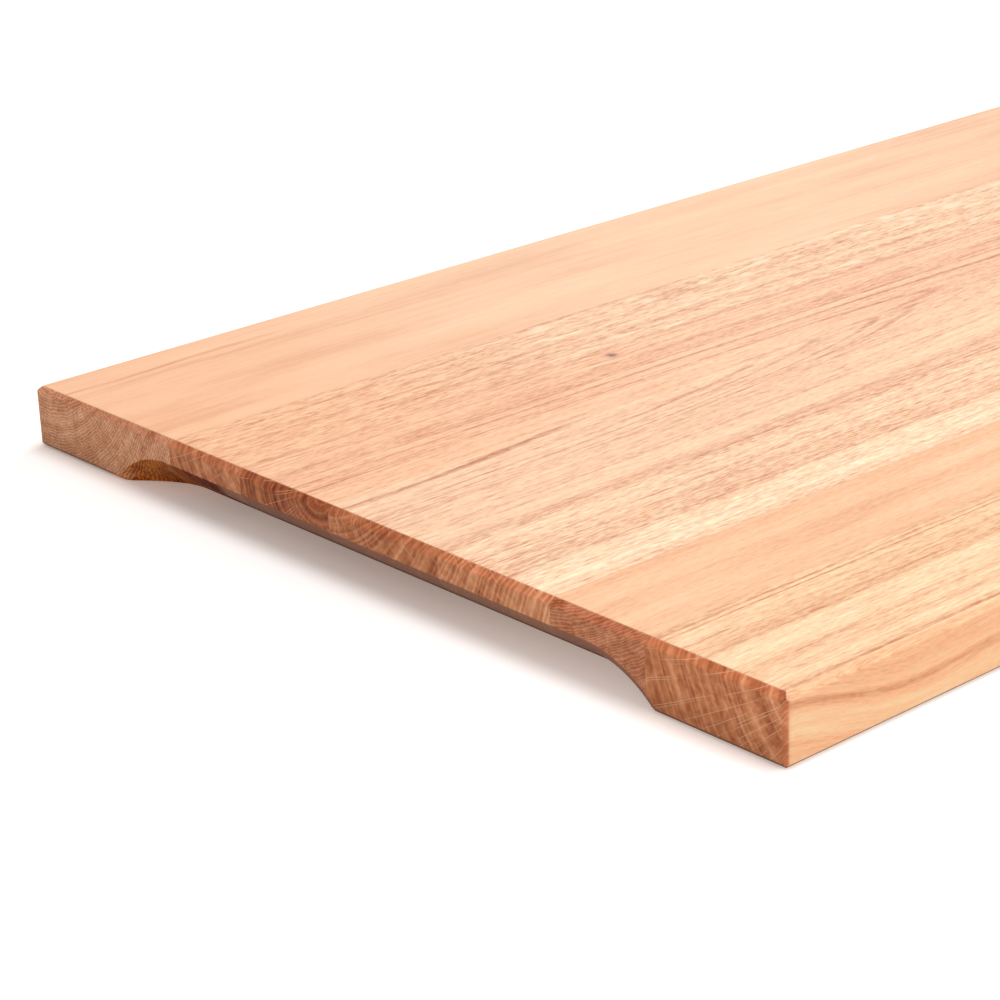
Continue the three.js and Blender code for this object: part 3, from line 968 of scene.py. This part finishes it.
def pin_knot(sheet, place, look):
    """How far the rings swell round a small knot, and how strongly its heart and its halo show."""
    x, y, z = sheet.parts(place)
    wobble = sheet.noise(sheet.stretched(place, *KNOT_WOBBLE), look.seed)
    along = sheet.maths("DIVIDE", sheet.maths("SUBTRACT", x, look.knot_along), look.knot_size)
    across = sheet.maths("DIVIDE", sheet.maths("SUBTRACT", y, look.knot_across), look.knot_size)
    squares = sheet.total(sheet.product(along, along), sheet.product(across, across))
    reach = sheet.total(sheet.maths("SQRT", squares), sheet.maths("SUBTRACT", wobble, 0.5))
    upper = sheet.eased(z, *KNOT_HEIGHTS)
    heart = sheet.product(sheet.eased(reach, *HEART_REACH, 1.0, 0.0), upper)
    halo = sheet.product(sheet.eased(reach, *HALO_REACH, 1.0, 0.0), upper)
    swell = sheet.product(sheet.eased(reach, *SWELL_REACH, KNOT_SWELL, 0.0), upper)
    return swell, heart, halo


def dipped(sheet, place, look):
    """Places in wood whose grain dips near the front side, as they would lie in straight wood."""
    x, y, z = sheet.parts(place)
    falling = sheet.eased(x, *DIP_FALL)
    rising = sheet.eased(x, *DIP_CLIMB, 1.0, 0.0)
    near = sheet.eased(y, *DIP_NEAR, 1.0, 0.0)
    dip = sheet.maths("SUBTRACT", sheet.product(falling, rising, look.front_dip), FRONT_RISE)
    return sheet.gathered(x, y, sheet.maths("MULTIPLY_ADD", near, dip, z))


def figure_tone(sheet, place, radius, look):
    """The drawn figure: how dark the wood is, ring by ring."""
    height = look.pith_height - BOARD_SIZE.z / MM
    points = sorted(
        (math.hypot(point.across - look.pith_across, height), point.tone) for point in look.drawing)
    first = points[0][0]
    last = points[-1][0]
    ramp = sheet.node("ShaderNodeValToRGB", {"Fac": sheet.ramped(radius, first, last)})
    stops = ramp.color_ramp.elements
    while len(stops) < len(points):
        stops.new(0.5)
    for stop, (reach, tone) in zip(stops, points):
        grey = 0.5 + 0.5 * tone
        stop.position = (reach - first) / (last - first)
        stop.color = (grey, grey, grey, 1.0)
    tone = sheet.maths("MULTIPLY_ADD", ramp.outputs[0], 2.0, -1.0)
    fade = [share * look.figure_reach for share in FIGURE_FADE]
    return sheet.product(tone, sheet.eased(sheet.parts(place)[0], *fade, 1.0, 0.0))


def fill_in(sheet, node, inputs, look):
    """Sets those inputs of a group node that are named after a setting of the look."""
    for title, kind in inputs:
        setting = title.lower().replace(" ", "_")
        if kind == VALUE and hasattr(look, setting):
            sheet.feed(node.inputs[title], getattr(look, setting))
        if kind == COLOUR:
            sheet.feed(node.inputs[title], (*getattr(look, setting), 1.0))


def oak_material(look, rings_tree, grain_tree):
    """Oiled oak with the figure of one stave."""
    material, sheet, shader, _ = new_material(look.slot)
    place, facing = board_place(sheet)
    if look.front_dip > 0:
        place = dipped(sheet, place, look)
    rings = sheet.node("ShaderNodeGroup", {"Place": place}, node_tree=rings_tree)
    fill_in(sheet, rings, RING_INPUTS, look)
    grain = sheet.node("ShaderNodeGroup", {"Place": place, "Facing": facing}, node_tree=grain_tree)
    fill_in(sheet, grain, GRAIN_INPUTS, look)
    for title, _ in RING_OUTPUTS:
        sheet.feed(grain.inputs[title], rings.outputs[title])
    sheet.feed(grain.inputs["Figure"], figure_tone(sheet, place, rings.outputs["Radius"], look))
    colour, roughness, height = grain.outputs
    if look.knot_size > 0:
        swell, heart, halo = pin_knot(sheet, place, look)
        sheet.feed(rings.inputs["Swell"], swell)
        colour = sheet.mixed(sheet.product(halo, KNOT_HALO_STRENGTH), colour, KNOT_HALO)
        colour = sheet.mixed(heart, colour, KNOT_HEART)
    bump = sheet.node("ShaderNodeBump", {"Height": height, "Strength": BUMP_STRENGTH, "Distance": BUMP_DEPTH})
    sheet.feed(shader.inputs["Base Color"], colour)
    sheet.feed(shader.inputs["Roughness"], roughness)
    sheet.feed(shader.inputs["Normal"], bump.outputs[0])
    shader.inputs["Specular IOR Level"].default_value = OIL_SHEEN
    return material


def glue_material(look):
    """Cured wood glue, clearer where it has soaked away."""
    material, sheet, shader, _ = new_material(look.slot)
    place, facing = board_place(sheet)
    patches = sheet.noise(sheet.stretched(place, *GLUE_PATCHES), GLUE_SEED, detail=3.0)
    soaked = sheet.eased(patches, *SOAKED_THRESHOLDS)
    leaning = sheet.parts(facing)
    face = sheet.mixed(soaked, (*look.amber, 1.0), (*look.soaked, 1.0))
    # Painted shade: glue ends that face down in the recess take the roof's shaded colour
    routed = sheet.ramped(leaning["Z"], *DOWNWARD_LEAN, 1.0, 0.0)
    end = sheet.mixed(routed, (*look.end_amber, 1.0), ROUTED_ROOF_AND_SHADE_COLOUR)
    share = sheet.eased(sheet.maths("ABSOLUTE", leaning["X"]), *END_LEAN)
    sheet.feed(shader.inputs["Base Color"], sheet.mixed(share, face, end))
    sheet.feed(shader.inputs["Roughness"], sheet.eased(patches, *SHINE_THRESHOLDS, *GLUE_ROUGHNESS))
    return material


def floor_material(look):
    """A pale floor that the camera sees as white outside the shadow."""
    material, sheet, shader, surface = new_material("studio_floor")
    place = board_place(sheet)[0]
    across = sheet.parts(place)[1]
    cloudy = sheet.noise(sheet.stretched(place, *FLOOR_CLOUDS), FLOOR_SEED)
    tint = sheet.mixed(sheet.product(cloudy, FLOOR_CLOUDINESS), (*look.floor_white, 1.0), FLOOR_GREY)
    sheet.feed(shader.inputs["Base Color"], tint)
    shader.inputs["Roughness"].default_value = FLOOR_ROUGHNESS
    shader.inputs["Specular IOR Level"].default_value = 0.0
    away = sheet.node("ShaderNodeVectorMath", operation="LENGTH")
    sheet.feed(away.inputs[0], place)
    far = sheet.eased(away.outputs["Value"], *FLOOR_REACH, look.floor_lift, 1.0)
    half = BOARD_HIGH.y / MM
    aside = sheet.maths("ABSOLUTE", sheet.maths("SUBTRACT", across, half))
    # Painted light: the shadow is whitened beside the long sides and towards the front
    beside = sheet.eased(aside, half - SIDE_BEFORE, half + SIDE_BEYOND, look.floor_lift, look.side_painted_light)
    forward = sheet.eased(across, *FLOOR_FORWARD, look.front_painted_light, 0.0)
    lifted = sheet.total(sheet.maths("MAXIMUM", far, beside), forward)
    whitened = sheet.ramped(lifted, look.floor_lift, 1.0)
    # Painted bounce light: near the board the lift is tinted warm, which shows in the shadow
    lift = sheet.node("ShaderNodeEmission", {
        "Color": sheet.mixed(whitened, (*look.painted_bounce_tint, 1.0), WHITE),
        "Strength": sheet.product(seen_directly(sheet), lifted)})
    both = sheet.node("ShaderNodeAddShader")
    sheet.feed(both.inputs[0], shader.outputs[0])
    sheet.feed(both.inputs[1], lift.outputs[0])
    sheet.feed(surface, both.outputs[0])
    return material


def seen_directly(sheet):
    """One for rays from the camera, and for those that a mirror or glass passes on."""
    path = sheet.node("ShaderNodeLightPath").outputs
    mirrored = sheet.maths("MAXIMUM", path["Is Glossy Ray"], path["Is Transmission Ray"])
    return sheet.maths("MAXIMUM", path["Is Camera Ray"], mirrored)


def assigned(piece, material):
    """Gives a piece its material."""
    piece.data.materials.clear()
    piece.data.materials.append(material)


# Light and camera

NEAREST_SEEN = 10 * MM


def hang_lamp(name, place, side, power):
    """A soft square lamp that points at the board."""
    lamp = bpy.data.lights.new(name, "AREA")
    lamp.shape = "SQUARE"
    lamp.size = side
    lamp.energy = power
    stand = bpy.data.objects.new(name, lamp)
    stand.location = place
    stand.rotation_euler = (-Vector(place)).to_track_quat("-Z", "Y").to_euler()
    bpy.context.scene.collection.objects.link(stand)


def camera_stand(look):
    """Where the camera stands and how it is turned."""
    level = math.cos(look.elevation)
    backwards = Vector((
        math.sin(look.azimuth) * level,
        -math.cos(look.azimuth) * level,
        math.sin(look.elevation)))
    right = Vector((0, 0, 1)).cross(backwards).normalized()
    up = backwards.cross(right)
    turned_right = right * math.cos(look.roll) + up * math.sin(look.roll)
    turned_up = up * math.cos(look.roll) - right * math.sin(look.roll)
    turn = Matrix((turned_right, turned_up, backwards)).transposed()
    return Matrix.Translation(look.camera_place) @ turn.to_4x4()


# Operators

class CHOPPINGBLOCK_OT_staves(bpy.types.Operator):
    """Cut the seven oak staves from one shaped board"""

    bl_idname = "chopping_block.staves"
    bl_label = "Cut the staves"

    def execute(self, context):
        block = context.scene.chopping_block
        board = whole_board(block.sizes)
        rings_tree = growth_rings_group()
        grain_tree = oak_grain_group()
        for look in block.staves:
            piece = cut_piece(board, look.name)
            assigned(piece, oak_material(look, rings_tree, grain_tree))
        board.free()
        return {"FINISHED"}


class CHOPPINGBLOCK_OT_glue(bpy.types.Operator):
    """Fill every joint between two staves with its film of glue"""

    bl_idname = "chopping_block.glue"
    bl_label = "Fill the glue joints"

    def execute(self, context):
        block = context.scene.chopping_block
        board = whole_board(block.sizes)
        material = glue_material(block.glue)
        for node in GLUE_LINES:
            assigned(cut_piece(board, node), material)
        board.free()
        return {"FINISHED"}


class CHOPPINGBLOCK_OT_stage(bpy.types.Operator):
    """Lay the floor, set up the light and place the camera"""

    bl_idname = "chopping_block.stage"
    bl_label = "Set the stage"

    def execute(self, context):
        scene = context.scene
        look = scene.chopping_block.studio
        bm = bmesh.new()
        bmesh.ops.create_grid(bm, x_segments=FLOOR_CELLS, y_segments=FLOOR_CELLS, size=FLOOR_HALF)
        floor = bpy.data.objects.new("floor", mesh_of(bm, "floor"))
        scene.collection.objects.link(floor)
        floor.data.materials.append(floor_material(look))

        world = bpy.data.worlds.new("studio")
        scene.world = world
        world.use_nodes = True
        world.node_tree.nodes.clear()
        sheet = NodeSheet(world.node_tree)
        seen = seen_directly(sheet)
        strength = sheet.eased(seen, 0.0, 1.0, look.sky_strength, 1.0)
        sky = sheet.node("ShaderNodeBackground", {"Color": WHITE, "Strength": strength})
        output = sheet.node("ShaderNodeOutputWorld")
        sheet.feed(output.inputs["Surface"], sky.outputs[0])

        hang_lamp("overhead_lamp", look.overhead_place, look.overhead_side, look.overhead_power)
        hang_lamp("front_lamp", look.front_place, look.front_side, look.front_power)

        lens = bpy.data.cameras.new("camera")
        lens.sensor_fit = "HORIZONTAL"
        lens.lens = look.lens
        lens.clip_start = NEAREST_SEEN
        camera = bpy.data.objects.new("camera", lens)
        camera.matrix_world = camera_stand(look)
        scene.collection.objects.link(camera)
        scene.camera = camera
        scene.view_settings.view_transform = "Standard"
        return {"FINISHED"}


class CHOPPINGBLOCK_PT_panel(bpy.types.Panel):
    """The chopping block's steps and settings"""

    bl_idname = "CHOPPINGBLOCK_PT_panel"
    bl_label = "Chopping block"
    bl_space_type = "VIEW_3D"
    bl_region_type = "UI"
    bl_category = "Chopping block"

    def draw(self, context):
        block = context.scene.chopping_block
        for operator in OPERATORS:
            self.layout.operator(operator.bl_idname)
        for group in (block.sizes, block.glue, block.studio):
            box = self.layout.box()
            for name in group.__annotations__:
                box.prop(group, name)


OPERATORS = [CHOPPINGBLOCK_OT_staves, CHOPPINGBLOCK_OT_glue, CHOPPINGBLOCK_OT_stage]
SETTINGS = [BoardSizes, FigurePoint, OakLook, GlueLook, StudioLook, ChoppingBlock]
CLASSES = [*SETTINGS, *OPERATORS, CHOPPINGBLOCK_PT_panel]


def register():
    for each in CLASSES:
        bpy.utils.register_class(each)
    bpy.types.Scene.chopping_block = bpy.props.PointerProperty(type=ChoppingBlock)


def unregister():
    del bpy.types.Scene.chopping_block
    for each in reversed(CLASSES):
        bpy.utils.unregister_class(each)


def main():
    register()
    block = bpy.context.scene.chopping_block
    for name, values in STAVES.items():
        look = block.staves.add()
        look.name = name
        for setting, value in values.items():
            if setting != "drawing":
                setattr(look, setting, value)
        for across, tone in values["drawing"]:
            point = look.drawing.add()
            point.across = across
            point.tone = tone
    bpy.ops.chopping_block.staves()
    bpy.ops.chopping_block.glue()
    bpy.ops.chopping_block.stage()


if __name__ == "__main__":
    main()
